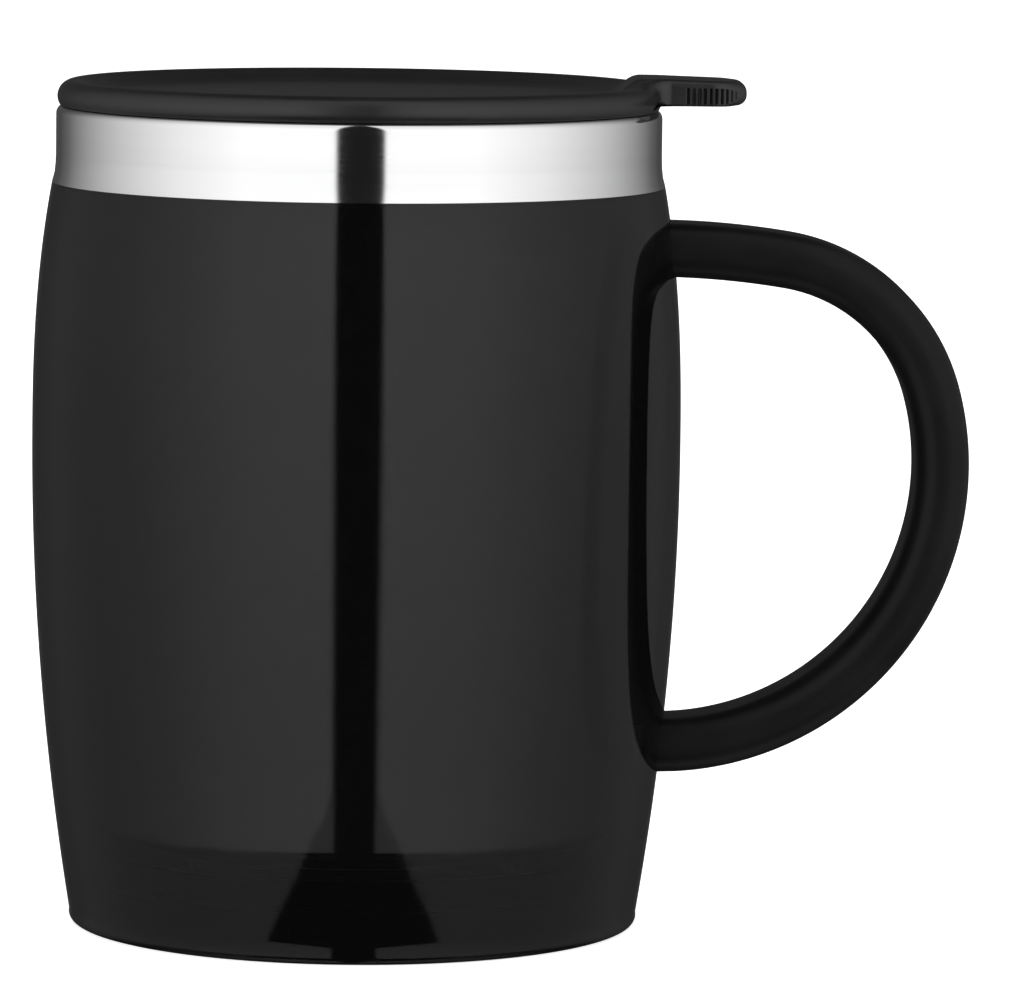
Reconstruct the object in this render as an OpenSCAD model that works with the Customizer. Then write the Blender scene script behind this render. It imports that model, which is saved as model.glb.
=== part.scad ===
// Insulated desk mug: a steel cup inside a smoked plastic barrel, with a D handle and a turning sip lid.
// Origin: centre of the flat base on the surface it stands on. +Z is up, and the handle points along +X.

/* [Barrel] */
// Radius of the barrel at its widest
bulge_r = 47.5; // [46:0.5:50]
// Height at which the barrel is widest
bulge_z = 71; // [66:1:76]
// Radius of the barrel just above its bottom edge
foot_r = 41.8; // [40.8:0.1:42.8]
// Radius of the barrel where it meets the steel collar
neck_r = 44.75; // [44.5:0.05:45.2]
// Height of the shoulder that the steel collar sits on
shoulder_z = 108.7; // [104:0.1:112]
// Wall thickness of the plastic barrel
shell_wall = 2.4; // [1.8:0.1:3]

/* [Steel cup] */
// Outer radius of the steel collar
collar_r = 44.2; // [44:0.05:44.2]
// Height of the drinking rim
rim_z = 119.9; // [119.6:0.1:119.9]
// Thickness of the steel sheet
steel_t = 0.6; // [0.4:0.1:0.8]
// Height of the underside of the cup's floor
cup_floor_z = 13.2; // [12.8:0.1:16]
// Outer radius of the cup just above its floor
cup_floor_r = 38; // [34:0.5:39]

/* [Handle] */
// Depth of the handle's section, front to back
handle_depth = 14.4; // [13:0.2:20]
// Thickness of the handle's section, in the plane of the loop
handle_thick = 7.9; // [7:0.1:10]
// Corner rounding of the handle's section
handle_round = 3.2; // [1.5:0.1:3.4]

/* [Lid] */
// Height of the lid's top, on the round rim
lid_top_z = 123.5; // [123.4:0.05:123.6]
// Radius of the round bead that runs round the lid
bead_r = 2.35; // [2.3:0.05:2.5]
// Reach of the thumb tab from the mug's axis
tab_reach = 56.4; // [54.4:0.2:60]
// Width of the thumb tab
tab_w = 14; // [11:1:18]
// Number of grip grooves on each side of the tab and its corner
tab_grooves = 10; // [4:1:12]
// Turn of the closure from shut to open, in degrees
turn = 60; // [45:5:70]
// Width of the sip hole, towards the rim
sip_w = 6.6; // [5:0.2:7]
// Arc of the sip hole between the centres of its round ends, in degrees
sip_arc = 16; // [10:1:20]

/* [Hidden] */
eps = 0.01;
cut = 1;
corner_steps = 6;
fold_steps = 12;
small_fn = 32;
$fn = 96;

// Barrel
outline_steps = 16;
foot_z = 0.05;
foot_round = 1.2;
cap_bore_r = 38.9;
cap_top_z = 11.7;
cap_bore_z = 12;
cap_floor = 2.2;
cap_wall = 1.8;
cap_gap = 0.05;
cap_foot_groove = [30, 31.5, 0.5];
seal_groove = [7.2, 8.8, 1.2];
seal_r = [38.25, 0.6];
rest_r = 23;
rest_wall = 2;
pad_w = 8;
neck_top_z = 116.3;
neck_root = 2;

// Steel cup
fold_r = 1.3;
cup_wall_r = collar_r - 2 * fold_r + steel_t;
fold_c = [collar_r - fold_r, rim_z - fold_r];
flare_rise = 1.3;
flare_z = shoulder_z + flare_rise;
flare_out = 0.15;
flare_start = 2;
cup_straight_z = 100;
cup_corner = 3;
seal_gap = 0.3;
neck_gap = [0.15, 0.1];
neck_wall_r = [cup_wall_r + neck_gap[0], collar_r - steel_t - neck_gap[1]];

// Handle: three arcs, each tangent to the next, run from the lower root to the upper root.
// An arc is [centre, radius, start angle, end angle], and its centre is [x, z].
arc_r = [41.1, 26.6, 120.2];
arc_end = [15.7, 80.9, 89.6];
arc_c1 = [44.6, 67.9];
arc_c2 = arc_c1 + (arc_r[0] - arc_r[1]) * ray(arc_end[0]);
arc_c3 = arc_c2 + (arc_r[1] - arc_r[2]) * ray(arc_end[1]);
handle_arcs = [
    [arc_c1, arc_r[0], -90, arc_end[0]],
    [arc_c2, arc_r[1], arc_end[0], arc_end[1]],
    [arc_c3, arc_r[2], arc_end[1], arc_end[2]],
];
root_z = [arc_c1[1] - arc_r[0], (arc_c3 + arc_r[2] * ray(arc_end[2]))[1]];
root_x = [arc_c1[0], (arc_c3 + arc_r[2] * ray(arc_end[2]))[0]];
root_len = 12;
sweep_step = 3.2;
handle_steps = 5;
tenon = [10, 5];
tenon_root = 2;
tenon_gap = 0.1;
screw_r = 1.5;
screw_head = [2.4, 1.0];
screw_cross = [3, 0.6, 0.5];
screw_len = 12;
screw_gap = 0.1;
head_room = 1.5;

// Lid
plug_top_z = 120.4;
plug_plate = 2.8;
plug_r = 40.2;
plug_wall = 1.6;
plug_bottom_z = 108;
plug_mouth = [1, 1.2];
flange_r = 43;
flange_t = 0.4;
flange_root = [41.2, 1.4];
track_r = [28, 38.2];
track_z = 119.2;
sip_r = 33;
sip_az = -90;
vent_r = 1.2;
vent_at = 32;
vent_az = 30;
gasket_z = [110.6, 114.6];
gasket_depth = 1;
gasket_body = 0.2;
gasket_r = 41.2;
lip_edge = [0.2, 0.75, 1, 1.05];
lip_blunt = 0.1;

// Closure
cover_under_z = 120.65;
floor_z = 121.7;
floor_r = 38;
bead_c = [41.7, lid_top_z - bead_r];
bead_start = 115;
bead_steps = 16;
lip_z = 119.85;
lip_inner_r = 43.3;
hub_r = 4;
hub_gap = 0.06;
hub_root = 0.5;
hub_end = [2.5, 112.2, 4];
hub_step_z = 114.6;
hub_groove = [3.1, 117, 118.2];
pivot_ring_at = [3.5, 117.6, 0.4];
clip_end_gap = 0.6;
boss_r = 7;
boss_z = 115;
stop_r = 15;
stop_az = 150;
stop_pin_r = 1.5;
stop_deep = 1.3;
stop_gap = [0.7, 2, 0.3];
pad_z = [119.5, 121.2];
pad_margin = 0.9;
vent_pad_r = 3;
tab_root_x = 36;
tab_round = 5.2;
tab_z = [120.7, 124.65];
tab_rise = [
    [36.2, 121.7], [36.2, 122.4], [37.7, 123.8], [39.2, 124.45], [41, 124.65], [44, 124.65], [48, 124.55],
    [52.5, 124.4],
];
tab_tip = [[1.9, 122.45, 80], [1.6, 122.3, -90]];
tab_heel_x = 45;
groove_z = [121.05, 123.3];
groove_pitch = 0.83;
groove_w = 0.42;
groove_deep = 0.4;
groove_first_x = 47.64;

function ray(a) = [cos(a), sin(a)];
function arc(c, r, a0, a1, n) = [for (i = [0:n]) c + r * ray(a0 + (a1 - a0) * i / n)];

// Outer radius of the barrel at a height
function shell_r(z) = z <= bulge_z
    ? bulge_r - (bulge_r - foot_r) * pow((bulge_z - z) / (bulge_z - 2), 2)
    : bulge_r - (bulge_r - neck_r) * pow((z - bulge_z) / (shoulder_z - bulge_z), 2.5);
function shell_side(z0, z1, inset) = [
    for (i = [0:outline_steps]) let (z = z0 + (z1 - z0) * i / outline_steps) [shell_r(z) - inset, z]
];

// Outer radius of the tapered steel cup at a height
function cup_r(z) = z >= cup_straight_z
    ? cup_wall_r
    : cup_floor_r + (cup_wall_r - cup_floor_r) * (z - cup_floor_z) / (cup_straight_z - cup_floor_z);

// Side of the cup, inset from its outer face by the sheet: 0 gives the outside, steel_t the inside
function cup_side(inset) = let (c = cup_corner, x = cup_r(cup_floor_z + c) - c)
    concat(
        [[0, cup_floor_z + inset]],
        arc([x, cup_floor_z + c], c - inset, -90, 0, corner_steps),
        [[cup_wall_r - inset, cup_straight_z], [cup_wall_r - inset, fold_c[1]]]
    );

function section(deep, thick, r) = concat(
    arc([thick / 2 - r, deep / 2 - r], r, 0, 90, handle_steps),
    arc([r - thick / 2, deep / 2 - r], r, 90, 180, handle_steps),
    arc([r - thick / 2, r - deep / 2], r, 180, 270, handle_steps),
    arc([thick / 2 - r, r - deep / 2], r, 270, 360, handle_steps)
);

module ring(r0, r1, z0, z1) {
    rotate_extrude() translate([r0, z0]) square([r1 - r0, z1 - z0]);
}

module round_ring(r, z, tube_r) {
    rotate_extrude() translate([r, z]) circle(r = tube_r, $fn = 24);
}

// Outline of a slot that follows a circle about the axis, centred on azimuth az, with round ends
function slot_outline(r, w, az, sweep) = let (a0 = az - sweep / 2, a1 = az + sweep / 2) concat(
    arc([0, 0], r + w / 2, a0, a1, ceil(sweep / 4)),
    arc(r * ray(a1), w / 2, a1 + 15, a1 + 165, 10),
    arc([0, 0], r - w / 2, a1, a0, ceil(sweep / 4)),
    arc(r * ray(a0), w / 2, a0 - 165, a0 - 15, 10)
);

module arc_slot(r, w, az, sweep, z0, z1) {
    translate([0, 0, z0]) linear_extrude(z1 - z0) polygon(slot_outline(r, w, az, sweep));
}

module at(r, az, z) {
    rotate([0, 0, az]) translate([r, 0, z]) children();
}

// Everything inside the barrel's outer face
module shell_solid() {
    rotate_extrude() polygon(concat(
        [[0, shoulder_z], [0, foot_z]],
        arc([foot_r - foot_round, foot_z + foot_round], foot_round, -90, 0, corner_steps),
        shell_side(foot_z + foot_round + eps, shoulder_z, 0)
    ));
}

// A rectangular bar through the barrel's wall at each handle root, which may reach further in
module tenons(grow, inward) {
    size = [shell_wall + tenon_root + inward, tenon[0] + 2 * grow, tenon[1] + 2 * grow];
    for (z = root_z) translate([shell_r(z) - shell_wall - inward, -size[1] / 2, z - size[2] / 2]) cube(size);
}

module outer_shell() {
    color([0.08, 0.08, 0.09, 0.9]) difference() {
        union() {
            shell_solid();
            ring(neck_wall_r[0], neck_wall_r[1], shoulder_z - neck_root, neck_top_z);
        }
        translate([0, 0, -cut]) cylinder(r = cap_bore_r, h = cap_bore_z + cut);
        rotate_extrude() polygon(concat(
            [[0, shoulder_z + cut], [0, cap_bore_z]],
            shell_side(cap_bore_z, shoulder_z - cut / 2, shell_wall),
            [[neck_wall_r[0], shoulder_z + cut]]
        ));
        tenons(tenon_gap, head_room);
    }
}

// A point of the handle's centreline in the plane of the loop, and the direction across the handle there
function frames() = concat(
    [[[root_x[0] - root_len, root_z[0]], handle_arcs[0][2]]],
    [for (a = handle_arcs) let (n = ceil((a[3] - a[2]) * a[1] * PI / 180 / sweep_step))
        for (i = [0:n - 1]) let (t = a[2] + (a[3] - a[2]) * i / n) [a[0] + a[1] * ray(t), t]],
    [[[root_x[1], root_z[1]], handle_arcs[2][3]]],
    [[[root_x[1] - root_len, root_z[1]], handle_arcs[2][3]]]
);

module handle_loop() {
    outline = section(handle_depth, handle_thick, handle_round);
    n = len(outline);
    rings = frames();
    points = [for (f = rings, p = outline) let (c = f[0] + p[0] * ray(f[1])) [c[0], p[1], c[1]]];
    sides = [for (i = [0:len(rings) - 2], j = [0:n - 1])
        [(i + 1) * n + j, (i + 1) * n + (j + 1) % n, i * n + (j + 1) % n, i * n + j]];
    start = [for (j = [0:n - 1]) j];
    end = [for (j = [n - 1:-1:0]) (len(rings) - 1) * n + j];
    polyhedron(points, concat(sides, [start, end]), convexity = 4);
}

module handle() {
    color([0.1, 0.1, 0.1]) difference() {
        union() {
            difference() {
                handle_loop();
                shell_solid();
            }
            intersection() {
                tenons(0, 0);
                translate([0, -handle_depth, 0]) cube([2 * bulge_r, 2 * handle_depth, rim_z]);
            }
        }
        for (z = root_z) translate([shell_r(z) - shell_wall - cut, 0, z]) rotate([0, 90, 0])
            cylinder(r = screw_r, h = screw_len + 2 * cut, $fn = small_fn);
    }
}

module handle_screws() {
    color("silver") for (z = root_z) translate([shell_r(z) - shell_wall, 0, z]) rotate([0, 90, 0]) {
        translate([0, 0, -screw_head[1]]) difference() {
            cylinder(r = screw_head[0], h = screw_head[1], $fn = small_fn);
            for (a = [0, 90]) rotate([0, 0, a]) translate([-screw_cross[0] / 2, -screw_cross[1] / 2, -cut])
                cube([screw_cross[0], screw_cross[1], screw_cross[2] + cut]);
        }
        translate([0, 0, -eps]) cylinder(r = screw_r - screw_gap, h = screw_len, $fn = small_fn);
    }
}

module steel_cup() {
    inner = cup_side(steel_t);
    outer = cup_side(0);
    fold_out = arc(fold_c, fold_r, 180, 0, fold_steps);
    fold_in = arc(fold_c, fold_r - steel_t, 0, 180, fold_steps);
    color([0.8, 0.8, 0.82]) rotate_extrude() polygon(concat(
        inner,
        fold_out,
        [[collar_r, flare_z + flare_start], [collar_r + flare_out, flare_z], [neck_r, shoulder_z]],
        [[neck_r - steel_t, shoulder_z], [collar_r - steel_t, flare_z + steel_t]],
        fold_in,
        [for (i = [len(outer) - 1:-1:0]) outer[i]]
    ));
}

module collar_seal() {
    color("whitesmoke") ring(neck_wall_r[0], neck_wall_r[1], neck_top_z, fold_c[1] - seal_gap);
}

module base_cap() {
    skirt_r = cap_bore_r - cap_gap;
    foot = cap_foot_groove;
    groove = seal_groove;
    color([0.09, 0.09, 0.09]) difference() {
        cylinder(r = skirt_r, h = cap_top_z);
        ring(rest_r + rest_wall / 2, skirt_r - cap_wall, cap_floor, cap_top_z + cut);
        translate([0, 0, cap_floor]) cylinder(r = rest_r - rest_wall / 2, h = cap_top_z);
        ring(foot[0], foot[1], -cut, foot[2]);
        ring(skirt_r - groove[2], skirt_r + cut, groove[0], groove[1]);
    }
}

module base_seal() {
    color("dimgray") round_ring(seal_r[0], (seal_groove[0] + seal_groove[1]) / 2, seal_r[1]);
}

module cup_rest_pad() {
    color("gainsboro") ring(rest_r - pad_w / 2, rest_r + pad_w / 2, cap_top_z, cup_floor_z);
}

module lid_plug() {
    z = plug_top_z;
    plate_z = z - plug_plate;
    mouth_r = plug_r - plug_wall;
    inner_r = mouth_r - plug_mouth[0];
    color([0.13, 0.13, 0.13]) difference() {
        union() {
            rotate_extrude() polygon([
                [0, z], [flange_r, z], [flange_r, z - flange_t], [flange_root[0], z - flange_t],
                [plug_r, z - flange_root[1]], [plug_r, plug_bottom_z], [mouth_r, plug_bottom_z],
                [mouth_r, gasket_z[0] - plug_mouth[1]], [inner_r, gasket_z[0]], [inner_r, plate_z],
                [0, plate_z],
            ]);
            translate([0, 0, boss_z]) cylinder(r = boss_r, h = z - boss_z);
        }
        translate([0, 0, boss_z - cut]) cylinder(r = hub_r + hub_gap, h = z);
        ring(track_r[0], track_r[1], track_z, z + cut);
        ring(plug_r - gasket_depth, plug_r + cut, gasket_z[0], gasket_z[1]);
        arc_slot(sip_r, sip_w, sip_az, sip_arc, plate_z - cut, z + cut);
        at(vent_at, vent_az, plate_z - cut) cylinder(r = vent_r, h = plug_plate + 2 * cut, $fn = small_fn);
        arc_slot(
            stop_r, 2 * stop_pin_r + stop_gap[0], stop_az + turn / 2, turn + stop_gap[1], z - stop_deep, z + cut
        );
    }
}

module lid_gasket() {
    body_r = plug_r + gasket_body;
    z = gasket_z;
    lip_r = [body_r, gasket_r, gasket_r - lip_blunt, body_r];
    pitch = (z[1] - z[0]) / 3;
    color("darkgray") rotate_extrude() polygon(concat(
        [[plug_r - gasket_depth, z[0]], [body_r, z[0]]],
        [for (i = [0:2], k = [0:3]) [lip_r[k], z[0] + pitch * i + lip_edge[k]]],
        [[body_r, z[1]], [plug_r - gasket_depth, z[1]]]
    ));
}

module tab_plan() {
    c = tab_w / 2 - tab_round;
    polygon(concat(
        [[tab_root_x, tab_w / 2]],
        arc([tab_reach - tab_round, c], tab_round, 90, 0, fold_steps),
        arc([tab_reach - tab_round, -c], tab_round, 0, -90, fold_steps),
        [[tab_root_x, -tab_w / 2]]
    ));
}

module tab_profile() {
    over = tab_tip[0];
    under = tab_tip[1];
    rotate([90, 0, 0]) linear_extrude(tab_w + 2 * cut, center = true) polygon(concat(
        tab_rise,
        arc([tab_reach - over[0], over[1]], over[0], over[2], 0, corner_steps),
        arc([tab_reach - under[0], under[1]], under[0], 0, under[2], corner_steps),
        [[tab_heel_x, tab_z[0]]]
    ));
}

module tab_groove() {
    translate([-groove_w / 2, -groove_deep, groove_z[0]])
        cube([groove_w, groove_deep + cut, groove_z[1] - groove_z[0]]);
}

// Grooves along the tab's side, where those past the start of the corner turn with it
module tab_grip() {
    corner = [tab_reach - tab_round, tab_w / 2 - tab_round];
    for (i = [0:tab_grooves - 1]) let (past = groove_first_x + i * groove_pitch - corner[0])
        translate([corner[0] + min(past, 0), corner[1], 0]) rotate([0, 0, -max(past, 0) / tab_round * 180 / PI])
            translate([0, tab_round, 0]) tab_groove();
}

module closure_cover() {
    c = bead_c;
    color([0.13, 0.13, 0.13]) difference() {
        union() {
            rotate_extrude() polygon(concat(
                [[0, cover_under_z], [0, floor_z], [floor_r, floor_z]],
                arc(c, bead_r, bead_start, asin((lip_z - c[1]) / bead_r), bead_steps),
                [[lip_inner_r, lip_z], [lip_inner_r, cover_under_z]]
            ));
            difference() {
                intersection() {
                    translate([0, 0, cover_under_z]) linear_extrude(2 * (tab_z[1] - tab_z[0])) tab_plan();
                    tab_profile();
                }
                tab_grip();
                mirror([0, 1, 0]) tab_grip();
            }
            translate([0, 0, hub_step_z]) cylinder(r = hub_r, h = floor_z - hub_step_z - hub_root);
            translate([0, 0, hub_end[1]]) cylinder(r = hub_end[0], h = hub_end[2]);
            at(stop_r, stop_az, plug_top_z - stop_deep + stop_gap[2])
                cylinder(r = stop_pin_r, h = stop_deep + hub_root, $fn = small_fn);
        }
        arc_slot(sip_r, sip_w, sip_az - turn, sip_arc, plug_top_z, lid_top_z + cut);
        at(vent_at, vent_az - turn, plug_top_z)
            cylinder(r = vent_r, h = lid_top_z - plug_top_z, $fn = small_fn);
        sip_pad();
        vent_pad();
        ring(hub_groove[0], hub_r + cut, hub_groove[1], hub_groove[2]);
    }
}

module sip_pad() {
    arc_slot(sip_r, sip_w + 2 * pad_margin, sip_az, sip_arc, pad_z[0], pad_z[1]);
}

module vent_pad() {
    at(vent_at, vent_az, pad_z[0]) cylinder(r = vent_pad_r, h = pad_z[1] - pad_z[0], $fn = small_fn);
}

module sip_seal() {
    color("gainsboro") sip_pad();
}

module vent_seal() {
    color("gainsboro") vent_pad();
}

module pivot_ring() {
    color("gainsboro") round_ring(pivot_ring_at[0], pivot_ring_at[1], pivot_ring_at[2]);
}

module pivot_clip() {
    color("gray") ring(hub_end[0], boss_r - hub_root, hub_end[1] + clip_end_gap, hub_step_z);
}

outer_shell();
handle();
handle_screws();
steel_cup();
collar_seal();
base_cap();
base_seal();
cup_rest_pad();
lid_plug();
lid_gasket();
closure_cover();
sip_seal();
vent_seal();
pivot_ring();
pivot_clip();
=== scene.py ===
import math

import bmesh
import bpy
from mathutils import Matrix, Vector


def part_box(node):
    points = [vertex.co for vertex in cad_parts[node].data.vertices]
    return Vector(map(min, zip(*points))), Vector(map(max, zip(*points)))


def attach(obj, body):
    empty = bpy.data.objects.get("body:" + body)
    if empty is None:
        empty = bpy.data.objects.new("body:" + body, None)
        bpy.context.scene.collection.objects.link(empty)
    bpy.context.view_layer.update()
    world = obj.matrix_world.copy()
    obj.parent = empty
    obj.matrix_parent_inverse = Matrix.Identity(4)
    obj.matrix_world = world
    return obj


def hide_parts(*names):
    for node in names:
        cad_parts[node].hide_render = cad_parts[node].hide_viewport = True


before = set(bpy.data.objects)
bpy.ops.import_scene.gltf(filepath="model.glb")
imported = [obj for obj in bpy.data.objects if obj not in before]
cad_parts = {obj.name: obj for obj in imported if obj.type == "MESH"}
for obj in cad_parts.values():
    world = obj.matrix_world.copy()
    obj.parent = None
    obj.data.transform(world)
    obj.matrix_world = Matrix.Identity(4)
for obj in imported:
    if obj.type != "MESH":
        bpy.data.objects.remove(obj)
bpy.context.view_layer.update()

MM = 0.001
DEG = math.pi / 180

# Where the CAD parts are, in millimetres
low = {n: tuple(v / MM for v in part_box(n)[0]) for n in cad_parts}
high = {n: tuple(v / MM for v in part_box(n)[1]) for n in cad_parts}

# Barrel
BARREL_R = high["outer_shell"][1]
BULGE_Z = 71.0
FOOT_R = BARREL_R - 5.7
FOOT_Z = low["outer_shell"][2]
FOOT_ROUND = 1.2
SHELL_WALL = 2.4
NECK_R = high["steel_cup"][1]
SHOULDER_Z = 108.7
NECK_TOP = high["outer_shell"][2]
NECK_WALL = (42.35, 43.5)
CAP_BORE = (high["base_cap"][1] + 0.05, high["base_cap"][2] + 0.3)
EDGE_ROUND = 0.25

# Steel cup
RIM_Z = high["steel_cup"][2]
CUP_FLOOR_Z = low["steel_cup"][2]
CUP_FLOOR_R = 38.0
STEEL = 0.6
COLLAR_R = 44.2
FOLD_R = 1.3
CUP_WALL_R = COLLAR_R - 2 * FOLD_R + STEEL
CUP_STRAIGHT_Z = 100.0
CUP_CORNER = 3.0
# The collar's flare onto the barrel, as heights above the shoulder and steps out from the collar's face
FLARE = ((4.3, 0.0), (2.7, 0.05), (1.3, 0.2))
FLARE_INSIDE = 1.9

# Handle: three arcs, each tangent to the next, from the lower root to the upper root
HANDLE_DEPTH = high["handle"][1] - low["handle"][1]
HANDLE_THICK = 7.9
HANDLE_ROUND = 3.2
HANDLE_CROWN = 12.0
ARC_RADII = (41.1, 26.6, 120.2)
ARC_ENDS = (15.7, 80.9, 89.6)
LOOP_CENTRE = (44.6, 67.9)
HANDLE_STEP = 1.1
ROOT_SUNK = 0.15
ROOT_CLEAR = 0.6

# Lid
BEAD_R = -low["closure_cover"][0]
BEAD_TUBE = 2.35
BEAD_Z = 121.15
FLOOR_Z = 121.7
FLOOR_R = 38.0
BEAD_CREST = 0.42
DISH_BLEND = 0.9
RING_RADII = (6.0, 14.0, 22.0, 30.0)
COVER_UNDER_Z = 120.65
LIP_Z = 119.85
LIP_INNER_R = 43.3
TAB_TIP = high["closure_cover"][0]
TAB_TOP = high["closure_cover"][2]
TAB_HALF = 7.0
TAB_CORNER = 5.2
TAB_UNDER = 120.7
TAB_ROOT_FILLET = 2.2
TAB_RISE = (35.6, 41.2)
TAB_LEVEL_X = 43.5
TAB_FALL = 0.03
TAB_BLEND = 7.0
TAB_STEP = 0.06
# Edge rounding along the tab's sides and at its tip
TAB_TOP_ROUND = (1.05, 1.75)
TAB_LOW_ROUND = (0.35, 1.5)
HUB_R = 4.0
HUB_STEP_Z = 114.6
HUB_END = (2.5, low["closure_cover"][2])
HUB_WAIST = (3.1, 117.0, 118.2)
HUB_SUNK = 0.4
TURN = 60.0
SIP_R, SIP_W, SIP_AZ, SIP_ARC = 33.0, 6.6, -90.0, 16.0
VENT_AT, VENT_R, VENT_AZ = 32.0, 1.2, 30.0
GROOVE_Z = (121.05, 123.3)
GROOVE_PITCH = 0.83
GROOVE_WIDTH = 0.5
GROOVE_DEEP = 0.4
GROOVES = 10
GROOVE_FIRST_X = 47.64
GROOVE_FADE = 0.05
GROOVE_ROWS = (122.6, 121.8)


# ---------------------------------------------------------------- shapes

def ray(angle):
    """The direction at an angle in degrees."""
    return math.cos(angle * DEG), math.sin(angle * DEG)


def arc(centre, radius, start, end, steps):
    """Points on a circle, from one angle to another, in degrees."""
    turn = [start + (end - start) * i / steps for i in range(steps + 1)]
    return [(centre[0] + radius * ray(a)[0], centre[1] + radius * ray(a)[1]) for a in turn]


def smooth(low_x, high_x, x):
    """0 below low_x, 1 above high_x, and a smooth step between."""
    t = min(1.0, max(0.0, (x - low_x) / (high_x - low_x)))
    return t * t * (3 - 2 * t)


def mix(a, b, t):
    return a + (b - a) * t


def soften(outline, radius, steps=4, least_turn=25.0):
    """Rounds each corner of a closed outline that turns by more than least_turn degrees."""
    made = []
    count = len(outline)
    for i, point in enumerate(outline):
        here, before, after = Vector(point), Vector(outline[i - 1]), Vector(outline[(i + 1) % count])
        a, b = before - here, after - here
        if a.length < 1e-6 or b.length < 1e-6:
            made.append(point)
            continue
        turn = 180 - math.degrees(a.angle(b))
        if turn < least_turn or here.x < 1e-6:
            made.append(point)
            continue
        half = math.radians(turn / 2)
        reach = min(radius * math.tan(half), 0.45 * a.length, 0.45 * b.length)
        p, q = here + a.normalized() * reach, here + b.normalized() * reach
        for k in range(steps + 1):
            t = k / steps
            made.append(tuple((1 - t) ** 2 * p + 2 * t * (1 - t) * here + t * t * q))
    return made


def build(name, points, faces):
    """A mesh object from points in millimetres, with smooth faces and sharp edges where it turns."""
    mesh = bpy.data.meshes.new(name)
    mesh.from_pydata([tuple(c * MM for c in p) for p in points], [], faces)
    shape = bmesh.new()
    shape.from_mesh(mesh)
    bmesh.ops.remove_doubles(shape, verts=shape.verts, dist=1e-7)
    bmesh.ops.recalc_face_normals(shape, faces=shape.faces)
    shape.to_mesh(mesh)
    shape.free()
    mesh.polygons.foreach_set("use_smooth", [True] * len(mesh.polygons))
    mesh.set_sharp_from_angle(angle=38 * DEG)
    made = bpy.data.objects.new(name, mesh)
    bpy.context.scene.collection.objects.link(made)
    return made


def turned(outline, segments):
    """Points and faces of a closed outline of (radius, height) turned about Z."""
    points, faces, rings = [], [], []
    for r, z in outline:
        count = 1 if r < 1e-6 else segments
        rings.append((len(points), count))
        for k in range(count):
            a = 2 * math.pi * k / segments
            points.append((r * math.cos(a), r * math.sin(a), z))
    for i, (first, count) in enumerate(rings):
        after, after_count = rings[(i + 1) % len(rings)]
        for k in range(segments):
            m = (k + 1) % segments
            if count > 1 and after_count > 1:
                faces.append((first + k, first + m, after + m, after + k))
            elif count > 1:
                faces.append((first + k, first + m, after))
            elif after_count > 1:
                faces.append((first, after + m, after + k))
    return points, faces


def lathe(name, outline, segments=224):
    """An object made by turning a closed outline about Z."""
    return build(name, *turned(outline, segments))


def barrel_r(z):
    """Outer radius of the barrel at a height."""
    if z <= BULGE_Z:
        return BARREL_R - (BARREL_R - FOOT_R) * ((BULGE_Z - z) / (BULGE_Z - 2)) ** 2
    return BARREL_R - (BARREL_R - NECK_R) * ((z - BULGE_Z) / (SHOULDER_Z - BULGE_Z)) ** 2.5


def barrel_side(z0, z1, inset, steps):
    """Outline points down or up the barrel's side, inset from its outer face."""
    heights = [mix(z0, z1, i / steps) for i in range(steps + 1)]
    return [(barrel_r(z) - inset, z) for z in heights]


def make_shell():
    """The smoked barrel: an outer face, an inner face one wall inside it, and a neck inside the collar."""
    bore = [CAP_BORE, (CAP_BORE[0], FOOT_Z)]
    foot = arc((FOOT_R - FOOT_ROUND, FOOT_Z + FOOT_ROUND), FOOT_ROUND, -90, 0, 8)
    outer = barrel_side(FOOT_Z + FOOT_ROUND + 0.4, SHOULDER_Z, 0, 64)
    inner = barrel_side(SHOULDER_Z - 1, CAP_BORE[1], SHELL_WALL, 48)
    neck = [(NECK_WALL[1], SHOULDER_Z), (NECK_WALL[1], NECK_TOP), (NECK_WALL[0], NECK_TOP)]
    return lathe("barrel_shell", soften(foot + outer + neck + inner + bore, EDGE_ROUND))


def cup_r(z):
    """Outer radius of the cup's tapered lower wall at a height."""
    return mix(CUP_FLOOR_R, CUP_WALL_R, min(1, (z - CUP_FLOOR_Z) / (CUP_STRAIGHT_Z - CUP_FLOOR_Z)))


def cup_side(inset):
    """Outline points from the middle of the cup's floor round its corner and up its wall."""
    x = cup_r(CUP_FLOOR_Z + CUP_CORNER) - CUP_CORNER
    wall = CUP_WALL_R - inset
    corner = arc((x, CUP_FLOOR_Z + CUP_CORNER), CUP_CORNER - inset, -90, 2, 12)
    foot_r, foot_z = corner[-1]
    rise = [(mix(foot_r, wall, i / 8), mix(foot_z, CUP_STRAIGHT_Z, i / 8)) for i in range(1, 9)]
    return [(0, CUP_FLOOR_Z + inset)] + corner + rise


def make_cup():
    """The steel cup, whose wall folds over at the rim and runs down outside as the collar."""
    fold = (COLLAR_R - FOLD_R, RIM_Z - FOLD_R)
    flare = [(COLLAR_R + out, SHOULDER_Z + up) for up, out in FLARE] + [(NECK_R, SHOULDER_Z)]
    inside = [(NECK_R - STEEL, SHOULDER_Z), (COLLAR_R - STEEL, SHOULDER_Z + FLARE_INSIDE)]
    outline = cup_side(STEEL) + arc(fold, FOLD_R, 180, 0, 20) + flare + inside
    outline += arc(fold, FOLD_R - STEEL, 0, 180, 14) + cup_side(0)[::-1]
    return lathe("steel_cup_polished", outline, 256)


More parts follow.
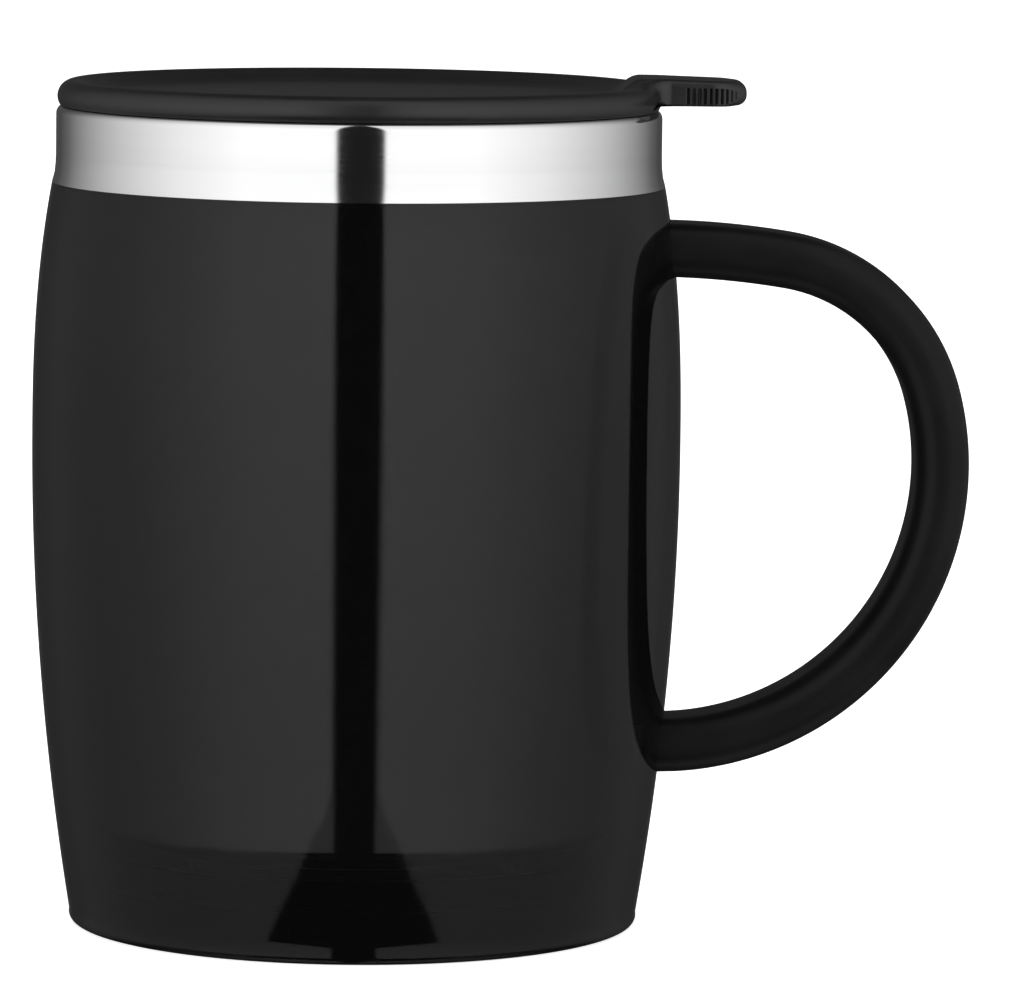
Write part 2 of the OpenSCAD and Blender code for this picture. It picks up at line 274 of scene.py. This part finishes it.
def handle_frames():
    """Points along the handle's centreline, each with the direction across the handle there."""
    frames, centre, start = [], LOOP_CENTRE, -90.0
    for i, (radius, end) in enumerate(zip(ARC_RADII, ARC_ENDS)):
        if i:
            shift = ARC_RADII[i - 1] - radius
            centre = (centre[0] + shift * ray(start)[0], centre[1] + shift * ray(start)[1])
        steps = max(8, int((end - start) * DEG * radius / HANDLE_STEP))
        for k in range(steps):
            a = mix(start, end, k / steps)
            frames.append(((centre[0] + radius * ray(a)[0], centre[1] + radius * ray(a)[1]), a))
        start = end
    frames.append(((centre[0] + radius * ray(end)[0], centre[1] + radius * ray(end)[1]), end))
    return frames


def handle_section():
    """The handle's cross-section: flat inner and outer faces, and slightly crowned front and back faces."""
    r, t, d = HANDLE_ROUND, HANDLE_THICK / 2, HANDLE_DEPTH / 2
    lean = math.degrees(math.asin((t - r) / (HANDLE_CROWN - r)))
    corner = (t - r, d - HANDLE_CROWN + (HANDLE_CROWN - r) * math.cos(lean * DEG))
    front = arc((0, d - HANDLE_CROWN), HANDLE_CROWN, 90 - lean, 90, 5)
    quarter = arc(corner, r, 0, 90 - lean, 12)[:-1] + front
    half = quarter + [(-x, y) for x, y in quarter[-2::-1]]
    return half + [(-x, -y) for x, y in half]


def on_barrel(y, z, deep):
    """X of the barrel's face at a point's y and z, or of the surface that lies deep inside it."""
    return math.sqrt((barrel_r(z) - deep) ** 2 - y * y)


def make_handle():
    """The D loop, cut off square against the barrel at both roots."""
    section = handle_section()
    frames = handle_frames()
    count = len(section)
    points = []
    for (x, z), a in frames:
        cx, cz = ray(a)
        points += [(x + p[0] * cx, p[1], z + p[0] * cz) for p in section]
    first = [(on_barrel(p[1], p[2], ROOT_SUNK), p[1], p[2]) for p in points[:count]]
    last = [(on_barrel(p[1], p[2], ROOT_SUNK), p[1], p[2]) for p in points[-count:]]
    kept = [i for i in range(len(frames)) if all(
        p[0] > on_barrel(p[1], p[2], 0) + ROOT_CLEAR for p in points[i * count:(i + 1) * count])]
    rings = [first] + [points[i * count:(i + 1) * count] for i in kept] + [last]
    faces = []
    for i in range(len(rings) - 1):
        for k in range(count):
            m = (k + 1) % count
            faces.append((i * count + k, i * count + m, (i + 1) * count + m, (i + 1) * count + k))
    faces.append(tuple(range(count))[::-1])
    faces.append(tuple(range((len(rings) - 1) * count, len(rings) * count)))
    return build("handle_loop", [p for ring in rings for p in ring], faces)


def dish_top(r):
    """Height of the lid's upper face at a radius: bead, sloped wall, flat floor."""
    bead_c = BEAD_R - BEAD_TUBE
    crest = bead_c - BEAD_TUBE * BEAD_CREST
    if r >= crest:
        return BEAD_Z + math.sqrt(max(0.0, BEAD_TUBE ** 2 - (r - bead_c) ** 2))
    crest_z = BEAD_Z + BEAD_TUBE * math.sqrt(1 - BEAD_CREST ** 2)
    return mix(FLOOR_Z, crest_z, smooth(FLOOR_R - DISH_BLEND, crest + DISH_BLEND, r))


def tab_top(x):
    """Height of the tab's upper face along its length, rising out of the dish."""
    high_z = TAB_TOP - TAB_FALL * max(0.0, x - TAB_LEVEL_X)
    return mix(dish_top(min(x, BEAD_R - BEAD_TUBE)), high_z, smooth(*TAB_RISE, x))


def lid_outline():
    """Half of the lid's plan outline, from the tab's tip round to the far side.

    Each entry is the point, its outward direction, how much it belongs to the tab, the distance along
    the outline, and the azimuth at which its cut through the lid crosses the floor."""
    half = []
    gap = TAB_HALF - TAB_CORNER
    corner = (TAB_TIP - TAB_CORNER, gap)
    fillet_x = math.sqrt((BEAD_R + TAB_ROOT_FILLET) ** 2 - (TAB_HALF + TAB_ROOT_FILLET) ** 2)
    fillet = (fillet_x, TAB_HALF + TAB_ROOT_FILLET)
    join = math.degrees(math.atan2(fillet[1], fillet[0]))
    side_steps = int((corner[0] - fillet_x) / TAB_STEP)
    tip_steps, corner_steps, fillet_steps, bead_steps = 5, 120, 14, 104
    for i in range(tip_steps):
        half.append(((TAB_TIP, gap * i / tip_steps), (1, 0)))
    for i in range(corner_steps):
        out = ray(90 * i / corner_steps)
        half.append(((corner[0] + TAB_CORNER * out[0], corner[1] + TAB_CORNER * out[1]), out))
    for i in range(side_steps):
        half.append(((mix(corner[0], fillet_x, i / side_steps), TAB_HALF), (0, 1)))
    for i in range(fillet_steps):
        c, d = ray(mix(270, 180 + join, i / fillet_steps))
        half.append(((fillet[0] + TAB_ROOT_FILLET * c, fillet[1] + TAB_ROOT_FILLET * d), (-c, -d)))
    tab_count = len(half)
    # Above 1, this power brings the bead's cuts closer together near the tab
    crowding = 1.15
    for i in range(bead_steps + 1):
        out = ray(join + (180 - join) * (i / bead_steps) ** crowding)
        half.append(((BEAD_R * out[0], BEAD_R * out[1]), out))
    entries, distance, root = [], 0.0, None
    for i, (point, out) in enumerate(half):
        if i:
            distance += math.dist(point, half[i - 1][0])
        if root is None and point[0] <= fillet_x + 0.05 and point[1] >= TAB_HALF:
            root = distance
        past_root = 0 if root is None else distance - root
        belongs = 1 - smooth(0.0, TAB_BLEND, past_root)
        azimuth = join * i / tab_count if i < tab_count else math.degrees(math.atan2(point[1], point[0]))
        entries.append((point, out, belongs, distance, azimuth))
    return entries


def grooves(distance, z):
    """How deep the grip grooves are at a distance along the outline and a height."""
    corner_end = TAB_HALF - TAB_CORNER + 90 * DEG * TAB_CORNER
    first = corner_end + TAB_TIP - TAB_CORNER - GROOVE_FIRST_X
    k = (first - distance) / GROOVE_PITCH + 0.5
    if not 0 <= k < GROOVES:
        return 0.0
    across = abs(k - math.floor(k) - 0.5) * GROOVE_PITCH
    wall = max(0.0, 1 - across / (GROOVE_WIDTH / 2))
    above = smooth(GROOVE_Z[0] - GROOVE_FADE, GROOVE_Z[0] + GROOVE_FADE, z)
    below = 1 - smooth(GROOVE_Z[1] - GROOVE_FADE, GROOVE_Z[1] + GROOVE_FADE, z)
    return GROOVE_DEEP * wall * above * below


def lid_column(point, out, belongs, distance, azimuth):
    """One cut through the lid, from the centre of its floor, over the edge and back under it.

    The tab's edge, the bead's edge and the mix of the two are (distance in from the outline, height)."""
    bead_c = BEAD_R - BEAD_TUBE
    at_tip = smooth(0.3, 0.95, out[0]) * belongs
    top_round, low_round = mix(*TAB_TOP_ROUND, at_tip), mix(*TAB_LOW_ROUND, at_tip)
    top = tab_top(point[0] - out[0] * top_round)
    tab = [(top_round * (1 - c), top - top_round * (1 - d)) for c, d in (ray(90 - 15 * i) for i in range(7))]
    wall_top, wall_low = tab[-1][1], TAB_UNDER + low_round
    groove_low, groove_high = GROOVE_Z
    marks = [groove_high + GROOVE_FADE, groove_high - GROOVE_FADE, *GROOVE_ROWS,
             groove_low + GROOVE_FADE, groove_low - GROOVE_FADE]
    tab += [(grooves(distance, z), min(wall_top - 0.01, max(wall_low + 0.01, z))) for z in marks]
    tab += [(low_round * (1 - c), wall_low - low_round * d) for c, d in (ray(18 * i) for i in range(6))]
    lip_angle = math.degrees(math.asin((LIP_Z - BEAD_Z) / BEAD_TUBE))
    turns = [mix(90, lip_angle + 9, i / (len(tab) - 1)) for i in range(len(tab))]
    bead = [(BEAD_TUBE * (1 - ray(a)[0]), BEAD_Z + BEAD_TUBE * ray(a)[1]) for a in turns]
    edge = [(mix(b[0], t[0], belongs), mix(b[1], t[1], belongs)) for b, t in zip(bead, tab)]
    c, d = ray(azimuth)
    inner = ((FLOOR_R - DISH_BLEND) * c, (FLOOR_R - DISH_BLEND) * d)
    start = (point[0] - out[0] * edge[0][0], point[1] - out[1] * edge[0][0])
    column = [(r * c, r * d, FLOOR_Z) for r in (*RING_RADII, FLOOR_R - DISH_BLEND)]
    for i in range(1, 12):
        x, y = mix(inner[0], start[0], i / 12), mix(inner[1], start[1], i / 12)
        ring_z = dish_top(min(math.hypot(x, y), bead_c))
        column.append((x, y, mix(ring_z, tab_top(x), belongs)))
    column += [(point[0] - out[0] * e[0], point[1] - out[1] * e[0], e[1]) for e in edge]
    across, up = ray(lip_angle + 5)
    r = mix(bead_c + BEAD_TUBE * across, BEAD_R + 0.05, belongs)
    column.append((r * c, r * d, mix(BEAD_Z + BEAD_TUBE * up, TAB_UNDER, belongs)))
    lip_r = bead_c + BEAD_TUBE * ray(lip_angle)[0]
    column += [(lip_r * c, lip_r * d, LIP_Z), (LIP_INNER_R * c, LIP_INNER_R * d, LIP_Z)]
    column += [(r * c, r * d, COVER_UNDER_Z) for r in (LIP_INNER_R, FLOOR_R + 0.5, *RING_RADII[::-1])]
    return column


def slot_cutter(name, r, width, azimuth, sweep, z0, z1):
    """A prism with round ends that follows a circle about the axis."""
    a0, a1 = azimuth - sweep / 2, azimuth + sweep / 2
    ends = [(r * ray(a)[0], r * ray(a)[1]) for a in (a0, a1)]
    outline = arc((0, 0), r + width / 2, a0, a1, 12) + arc(ends[1], width / 2, a1 + 9, a1 + 171, 18)
    outline += arc((0, 0), r - width / 2, a1, a0, 12) + arc(ends[0], width / 2, a0 - 171, a0 - 9, 18)
    return prism(name, outline, z0, z1)


def prism(name, outline, z0, z1):
    """A closed outline drawn up from one height to another."""
    count = len(outline)
    points = [(x, y, z) for z in (z0, z1) for x, y in outline]
    faces = [(i, (i + 1) % count, count + (i + 1) % count, count + i) for i in range(count)]
    return build(name, points, faces + [tuple(range(count))[::-1], tuple(range(count, 2 * count))])


def cut(target, *cutters):
    """Takes the cutters' shapes out of target, for good."""
    for cutter in cutters:
        step = target.modifiers.new("cut", "BOOLEAN")
        step.operation = "DIFFERENCE"
        step.solver = "EXACT"
        step.object = cutter
        with bpy.context.temp_override(object=target, active_object=target):
            bpy.ops.object.modifier_apply(modifier=step.name)
        bpy.data.objects.remove(cutter)
    target.data.set_sharp_from_angle(angle=38 * DEG)


def make_cover():
    """The turning closure: bead, dished floor and thumb tab in one skin, with its sip and vent holes."""
    half = lid_outline()
    other = [((p[0], -p[1]), (n[0], -n[1]), belongs, distance, -azimuth)
             for p, n, belongs, distance, azimuth in half[-2:0:-1]]
    columns = [lid_column(*entry) for entry in half + other]
    rows, count = len(columns[0]), len(columns)
    points = [p for column in columns for p in column]
    faces = []
    for i in range(count):
        j = (i + 1) % count
        for k in range(rows - 1):
            faces.append((i * rows + k, j * rows + k, j * rows + k + 1, i * rows + k + 1))
    points += [(0, 0, FLOOR_Z), (0, 0, COVER_UNDER_Z)]
    for i in range(count):
        j = (i + 1) % count
        faces.append((i * rows, j * rows, len(points) - 2))
        faces.append((j * rows + rows - 1, i * rows + rows - 1, len(points) - 1))
    cover = build("lid_cover", points, faces)
    vent = [VENT_AT * c for c in ray(VENT_AZ - TURN)]
    cut(
        cover,
        slot_cutter("cut_sip", SIP_R, SIP_W, SIP_AZ - TURN, SIP_ARC, LIP_Z, TAB_TOP),
        prism("cut_vent", arc(vent, VENT_R, 0, 345, 23), LIP_Z, TAB_TOP),
    )
    return cover


def make_hub():
    """The stub under the closure that turns in the plug, with the waist that the clip grips."""
    waist_r, waist_low, waist_high = HUB_WAIST
    top = COVER_UNDER_Z + HUB_SUNK
    outline = [(0, top), (HUB_R, top), (HUB_R, waist_high), (waist_r, waist_high), (waist_r, waist_low)]
    outline += [(HUB_R, waist_low), (HUB_R, HUB_STEP_Z), (HUB_END[0], HUB_STEP_Z), HUB_END, (0, HUB_END[1])]
    return lathe("lid_hub", soften(outline, EDGE_ROUND), 72)


# ---------------------------------------------------------------- materials

# How strongly the smoked wall absorbs light, per metre
SMOKE_DENSITY = 3900


def shader(name, **values):
    """A material with one Principled shader, its sockets set by name."""
    material = bpy.data.materials.new(name)
    material.use_nodes = True
    principled = material.node_tree.nodes["Principled BSDF"]
    for key, value in values.items():
        principled.inputs[key.replace("_", " ")].default_value = value
    return material, material.node_tree.nodes, material.node_tree.links, principled


def noise(nodes, links, scale, detail=2.0, stretch=(1, 1, 1), roughness=0.5):
    """Noise in the piece's own space, stretched by the given scale on each axis."""
    place = nodes.new("ShaderNodeTexCoord")
    mapping = nodes.new("ShaderNodeMapping")
    mapping.inputs["Scale"].default_value = stretch
    texture = nodes.new("ShaderNodeTexNoise")
    texture.inputs["Scale"].default_value = scale
    texture.inputs["Detail"].default_value = detail
    texture.inputs["Roughness"].default_value = roughness
    links.new(place.outputs["Object"], mapping.inputs["Vector"])
    links.new(mapping.outputs["Vector"], texture.inputs["Vector"])
    return texture.outputs["Fac"]


def spread(nodes, links, source, low_value, high_value):
    """Maps the middle of a noise's range to the range between two values."""
    scale = nodes.new("ShaderNodeMapRange")
    scale.inputs["From Min"].default_value = 0.3
    scale.inputs["From Max"].default_value = 0.7
    scale.inputs["To Min"].default_value = low_value
    scale.inputs["To Max"].default_value = high_value
    links.new(source, scale.inputs["Value"])
    return scale.outputs["Result"]


def bumped(nodes, links, principled, layers):
    """Adds bump layers, each (height source, distance in metres, strength), to a shader's normal."""
    normal = None
    for source, distance, strength in layers:
        bump = nodes.new("ShaderNodeBump")
        bump.inputs["Distance"].default_value = distance
        bump.inputs["Strength"].default_value = strength
        links.new(source, bump.inputs["Height"])
        if normal is not None:
            links.new(normal, bump.inputs["Normal"])
        normal = bump.outputs["Normal"]
    links.new(normal, principled.inputs["Normal"])


def tinted(nodes, links, principled, source, dark, light):
    """Varies the base colour between two colours."""
    ramp = nodes.new("ShaderNodeValToRGB")
    ramp.color_ramp.elements[0].position = 0.35
    ramp.color_ramp.elements[0].color = (*dark, 1)
    ramp.color_ramp.elements[1].position = 0.65
    ramp.color_ramp.elements[1].color = (*light, 1)
    links.new(source, ramp.inputs["Fac"])
    links.new(ramp.outputs["Color"], principled.inputs["Base Color"])


def smoked_plastic():
    """Clear plastic that absorbs light on its way through the wall, with a faintly uneven gloss."""
    made, nodes, links, principled = shader("smoked_plastic", IOR=1.31, Transmission_Weight=0.998)
    principled.inputs["Base Color"].default_value = (1, 1, 1, 1)
    gloss = spread(nodes, links, noise(nodes, links, 35, 3.0), 0.035, 0.055)
    links.new(gloss, principled.inputs["Roughness"])
    waves = noise(nodes, links, 28, 1.0, (1, 1, 0.4))
    bumped(nodes, links, principled, [(waves, 0.00012, 0.06)])
    smoke_in_wall = nodes.new("ShaderNodeVolumeAbsorption")
    smoke_in_wall.inputs["Color"].default_value = (0.8, 0.8, 0.802, 1)
    smoke_in_wall.inputs["Density"].default_value = SMOKE_DENSITY
    links.new(smoke_in_wall.outputs["Volume"], nodes["Material Output"].inputs["Volume"])
    return made


def moulded_plastic(name, dark, light, roughness, grain, depth, specular):
    """Moulded plastic with a fine grain and slightly uneven gloss."""
    made, nodes, links, principled = shader(name, IOR=1.48, Specular_IOR_Level=specular)
    tinted(nodes, links, principled, noise(nodes, links, 60, 3.0), dark, light)
    gloss = spread(nodes, links, noise(nodes, links, 240, 4.0), roughness - 0.03, roughness + 0.04)
    links.new(gloss, principled.inputs["Roughness"])
    fine = noise(nodes, links, grain, 3.0)
    broad = noise(nodes, links, 55, 1.0)
    bumped(nodes, links, principled, [(broad, 0.0001, 0.06), (fine, depth, 0.35)])
    return made


def turned_steel(name, colour, roughness):
    """Polished steel with faint turning lines round the axis."""
    made, nodes, links, principled = shader(name, Metallic=1.0, Anisotropic=0.0)
    light = tuple(c * 1.03 for c in colour)
    tinted(nodes, links, principled, noise(nodes, links, 14, 2.0, (1, 1, 18)), colour, light)
    lines = noise(nodes, links, 40, 2.0, (0.6, 0.6, 60), 0.6)
    gloss = spread(nodes, links, lines, roughness - 0.015, roughness + 0.02)
    links.new(gloss, principled.inputs["Roughness"])
    bumped(nodes, links, principled, [(lines, 0.000004, 0.25)])
    return made


def soft_rubber(name, dark, light, roughness):
    """Matt silicone or rubber with a little dust on it."""
    made, nodes, links, principled = shader(name, IOR=1.41, Sheen_Weight=0.15, Sheen_Roughness=0.5)
    tinted(nodes, links, principled, noise(nodes, links, 120, 3.0), dark, light)
    dust = spread(nodes, links, noise(nodes, links, 260, 4.0), roughness - 0.06, roughness + 0.08)
    links.new(dust, principled.inputs["Roughness"])
    bumped(nodes, links, principled, [(noise(nodes, links, 900, 2.0), 0.00002, 0.4)])
    return made


def foam():
    """Pale foam with small round cells."""
    made, nodes, links, principled = shader("pale_foam", Roughness=0.9)
    cells = nodes.new("ShaderNodeTexVoronoi")
    cells.inputs["Scale"].default_value = 900
    place = nodes.new("ShaderNodeTexCoord")
    links.new(place.outputs["Object"], cells.inputs["Vector"])
    tinted(nodes, links, principled, cells.outputs["Distance"], (0.55, 0.55, 0.53), (0.78, 0.78, 0.76))
    bumped(nodes, links, principled, [(cells.outputs["Distance"], 0.0002, 0.7)])
    return made


# ---------------------------------------------------------------- assembly

def dress(obj, material):
    """Gives an object one material, in place of any that it has."""
    obj.data.materials.clear()
    obj.data.materials.append(material)


def stand_in(obj, body, slot, material, *nodes):
    """A made piece: its material, its body and the CAD nodes that it stands for. The slot is not used."""
    dress(obj, material)
    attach(obj, body)
    if nodes:
        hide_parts(*nodes)


black_satin = moulded_plastic("handle_plastic", (0.004,) * 3, (0.006,) * 3, 0.34, 1500, 0.00002, 0.15)
black_lid = moulded_plastic("lid_plastic", (0.005,) * 3, (0.007,) * 3, 0.32, 2200, 0.00003, 0.62)
black_cap = moulded_plastic("cap_plastic", (0.008,) * 3, (0.012,) * 3, 0.5, 1500, 0.00003, 0.3)
grey_clip = moulded_plastic("clip_plastic", (0.2,) * 3, (0.25,) * 3, 0.45, 1500, 0.00002, 0.5)
steel = turned_steel("polished_steel", (0.93, 0.93, 0.935), 0.07)
zinc = turned_steel("screw_steel", (0.6, 0.6, 0.62), 0.3)
milky = soft_rubber("milky_silicone", (0.6, 0.6, 0.58), (0.7, 0.7, 0.68), 0.5)
grey = soft_rubber("grey_silicone", (0.28, 0.28, 0.28), (0.34, 0.34, 0.34), 0.5)
rubber = soft_rubber("black_rubber", (0.012, 0.012, 0.012), (0.02, 0.02, 0.02), 0.6)
smoke = smoked_plastic()

stand_in(make_shell(), "mug", "smoked_plastic", smoke, "outer_shell")
stand_in(make_cup(), "mug", "polished_steel", steel, "steel_cup")
stand_in(make_handle(), "mug", "handle_plastic", black_satin, "handle")
stand_in(make_cover(), "closure", "lid_plastic", black_lid, "closure_cover")
stand_in(make_hub(), "closure", "lid_plastic", black_lid)

# The CAD parts that are shown as they are, each with its material
KEPT = {
    "handle_screws": zinc, "collar_seal": milky, "base_cap": black_cap, "base_seal": rubber,
    "cup_rest_pad": foam(), "lid_plug": black_lid, "lid_gasket": grey, "sip_seal": grey, "vent_seal": grey,
    "pivot_ring": grey, "pivot_clip": grey_clip,
}
for node, material in KEPT.items():
    dress(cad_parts[node], material)

# ---------------------------------------------------------------- stage

CAMERA = Vector((0, -1.0631, 0.1769))
CAMERA_YAW, CAMERA_TILT, CAMERA_ROLL = 1.233 * DEG, 6.134 * DEG, 0.661 * DEG
CAMERA_LENS = 256.15

FLOOR_HALF = 8000
FLOOR_SUNK = 0.02

# The room as the object sees it, in stops of (position, value). SIDES is how bright it is by azimuth away
# from the camera, in half turns. LEVEL is how bright it is from straight down (0) to straight up (1). WEDGE
# is how much wider the dark gap at the camera is, by the sine of the angle below the horizon.
SIDES = [
    (0.0, 1.0), (45 / 180, 1.0), (75 / 180, 0.8), (105 / 180, 0.52), (125 / 180, 0.31), (145 / 180, 0.11),
    (158 / 180, 0.05), (1.0, 0.06),
]
LEVEL = [
    (0.0, 0.55), (0.08, 0.5), (0.15, 0.1), (0.21, 0.1), (0.26, 0.6), (0.31, 0.68), (0.36, 0.74), (0.42, 0.85),
    (0.5, 1.0), (0.7, 1.0), (0.85, 0.9), (1.0, 0.75),
]
WEDGE = [
    (0.0, 0.0), (0.355, 0.0), (0.375, 0.06), (0.39, 0.18), (0.416, 0.34), (0.454, 0.67), (0.48, 0.9),
    (0.75, 0.9), (0.85, 0.0), (1.0, 0.0),
]
GAP_CENTRE = 0.6 * DEG
GAP_HALF = 8.0 * DEG
GAP_EDGE = 2.0 * DEG
WEDGE_HALF = 40 * DEG
ROOM_LIGHT, ROOM_DARK = 1.05, 0.01


def make_camera():
    """The camera that took the photo, as fitted to it."""
    data = bpy.data.cameras.new("camera")
    data.lens = CAMERA_LENS
    data.sensor_width = 36
    camera = bpy.data.objects.new("camera", data)
    bpy.context.scene.collection.objects.link(camera)
    yaw, tilt, roll = CAMERA_YAW, CAMERA_TILT, CAMERA_ROLL
    ahead = Vector((math.sin(yaw) * math.cos(tilt), math.cos(yaw) * math.cos(tilt), -math.sin(tilt)))
    right = Vector((math.cos(yaw), -math.sin(yaw), 0))
    up = right.cross(ahead)
    side = right * math.cos(roll) + up * math.sin(roll)
    top = up * math.cos(roll) - right * math.sin(roll)
    turn = Matrix((side, top, -ahead)).transposed()
    camera.matrix_world = Matrix.Translation(CAMERA) @ turn.to_4x4()
    bpy.context.scene.camera = camera


def make_floor():
    """A wide white floor just under the mug, which the mug's own reflections don't show."""
    corners = [(x * FLOOR_HALF, y * FLOOR_HALF, -FLOOR_SUNK) for x, y in ((-1, -1), (1, -1), (1, 1), (-1, 1))]
    floor = build("floor", corners, [(0, 1, 2, 3)])
    made, _, _, principled = shader(
        "floor_white", Base_Color=(0.86, 0.86, 0.86, 1), Roughness=0.9, Emission_Strength=0.8)
    principled.inputs["Emission Color"].default_value = (1, 1, 1, 1)
    dress(floor, made)
    floor.visible_glossy = False
    floor.visible_transmission = False


def value_node(nodes, links, operation, *inputs):
    """One step of arithmetic on numbers or on other nodes' outputs."""
    node = nodes.new("ShaderNodeMath")
    node.operation = operation
    for socket, value in zip(node.inputs, inputs):
        if hasattr(value, "links"):
            links.new(value, socket)
        else:
            socket.default_value = value
    return node.outputs[0]


def curve_node(nodes, links, source, stops):
    """A value that follows straight lines between (position, value) stops, with positions from 0 to 1."""
    ramp = nodes.new("ShaderNodeValToRGB")
    elements = ramp.color_ramp.elements
    while len(elements) < len(stops):
        elements.new(0.5)
    for element, (position, value) in zip(elements, stops):
        element.position = position
        element.color = (value, value, value, 1)
    links.new(source, ramp.inputs["Fac"])
    return ramp.outputs["Color"]


def make_world():
    """Two tall soft boxes with a dark gap between them at the camera, in a room that is dark at the back.

    Only what lights the object has these shapes: the camera itself sees plain white behind the object."""
    world = bpy.data.worlds.new("studio")
    bpy.context.scene.world = world
    world.use_nodes = True
    nodes, links = world.node_tree.nodes, world.node_tree.links
    place = nodes.new("ShaderNodeTexCoord")
    split = nodes.new("ShaderNodeSeparateXYZ")
    links.new(place.outputs["Generated"], split.inputs[0])
    x, y, z = split.outputs
    front = value_node(nodes, links, "MULTIPLY", y, -1.0)
    azimuth = value_node(nodes, links, "ARCTAN2", x, front)
    centred = value_node(nodes, links, "SUBTRACT", azimuth, GAP_CENTRE)
    away = value_node(nodes, links, "ABSOLUTE", centred)
    share = value_node(nodes, links, "DIVIDE", away, math.pi)
    sides = curve_node(nodes, links, share, SIDES)
    height = value_node(nodes, links, "MULTIPLY_ADD", z, 0.5, 0.5)
    level = curve_node(nodes, links, height, LEVEL)
    below = value_node(nodes, links, "MULTIPLY", z, -1.0)
    wedge = curve_node(nodes, links, below, WEDGE)
    gap = value_node(nodes, links, "MULTIPLY_ADD", wedge, WEDGE_HALF, GAP_HALF)
    past = value_node(nodes, links, "SUBTRACT", away, gap)
    lit = nodes.new("ShaderNodeMapRange")
    lit.interpolation_type = "SMOOTHSTEP"
    lit.inputs["From Max"].default_value = GAP_EDGE
    links.new(past, lit.inputs["Value"])
    glow = value_node(nodes, links, "MULTIPLY", sides, level)
    shaped = value_node(nodes, links, "MULTIPLY", glow, lit.outputs["Result"])
    radiance = value_node(nodes, links, "MULTIPLY_ADD", shaped, ROOM_LIGHT, ROOM_DARK)
    seen = nodes.new("ShaderNodeLightPath")
    strength = nodes.new("ShaderNodeMix")
    links.new(seen.outputs["Is Camera Ray"], strength.inputs["Factor"])
    links.new(radiance, strength.inputs["A"])
    strength.inputs["B"].default_value = 1.0
    links.new(strength.outputs["Result"], nodes["Background"].inputs["Strength"])
    nodes["Background"].inputs["Color"].default_value = (1, 1, 1, 1)


def make_lamp():
    """One large soft lamp overhead, which keeps the floor white."""
    data = bpy.data.lights.new("overhead", "AREA")
    data.shape = "DISK"
    data.size = 2.4
    data.energy = 26
    lamp = bpy.data.objects.new("overhead", data)
    bpy.context.scene.collection.objects.link(lamp)
    lamp.location = (0, 0.3, 2.2)
    lamp.visible_camera = False
    lamp.visible_glossy = False


make_camera()
make_floor()
make_world()
make_lamp()
bpy.context.scene.view_settings.view_transform = "Standard"
